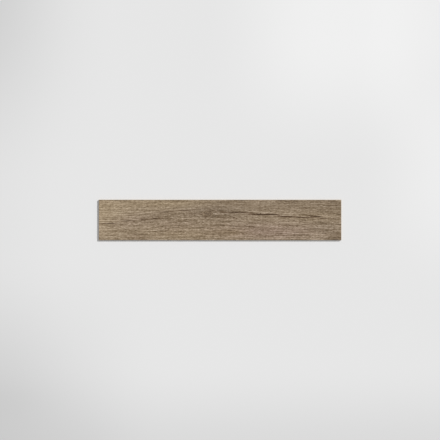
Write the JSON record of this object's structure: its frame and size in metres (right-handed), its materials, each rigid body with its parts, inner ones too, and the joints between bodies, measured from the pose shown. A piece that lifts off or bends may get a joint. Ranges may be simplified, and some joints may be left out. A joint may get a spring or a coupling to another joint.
{
  "type": "porcelain tile",
  "caption": "Rectangular wood-look porcelain floor plank with ground square edges, a bevelled arris round its face and a shallow keying relief pressed into its back.",
  "frame": {"origin": "middle of the back, on the plane of its keying ribs, which is the plane that the tile lies on", "axes": "+X along the plank's length and the printed grain, +Y across its width, +Z out of the wood-look face"},
  "size_m": [1.2, 0.2, 0.009],
  "materials": {
    "fired_porcelain": "matte"
  },
  "bodies": {
    "root": {"porcelain_tile": "fired_porcelain"}
  },
  "joints": []
}
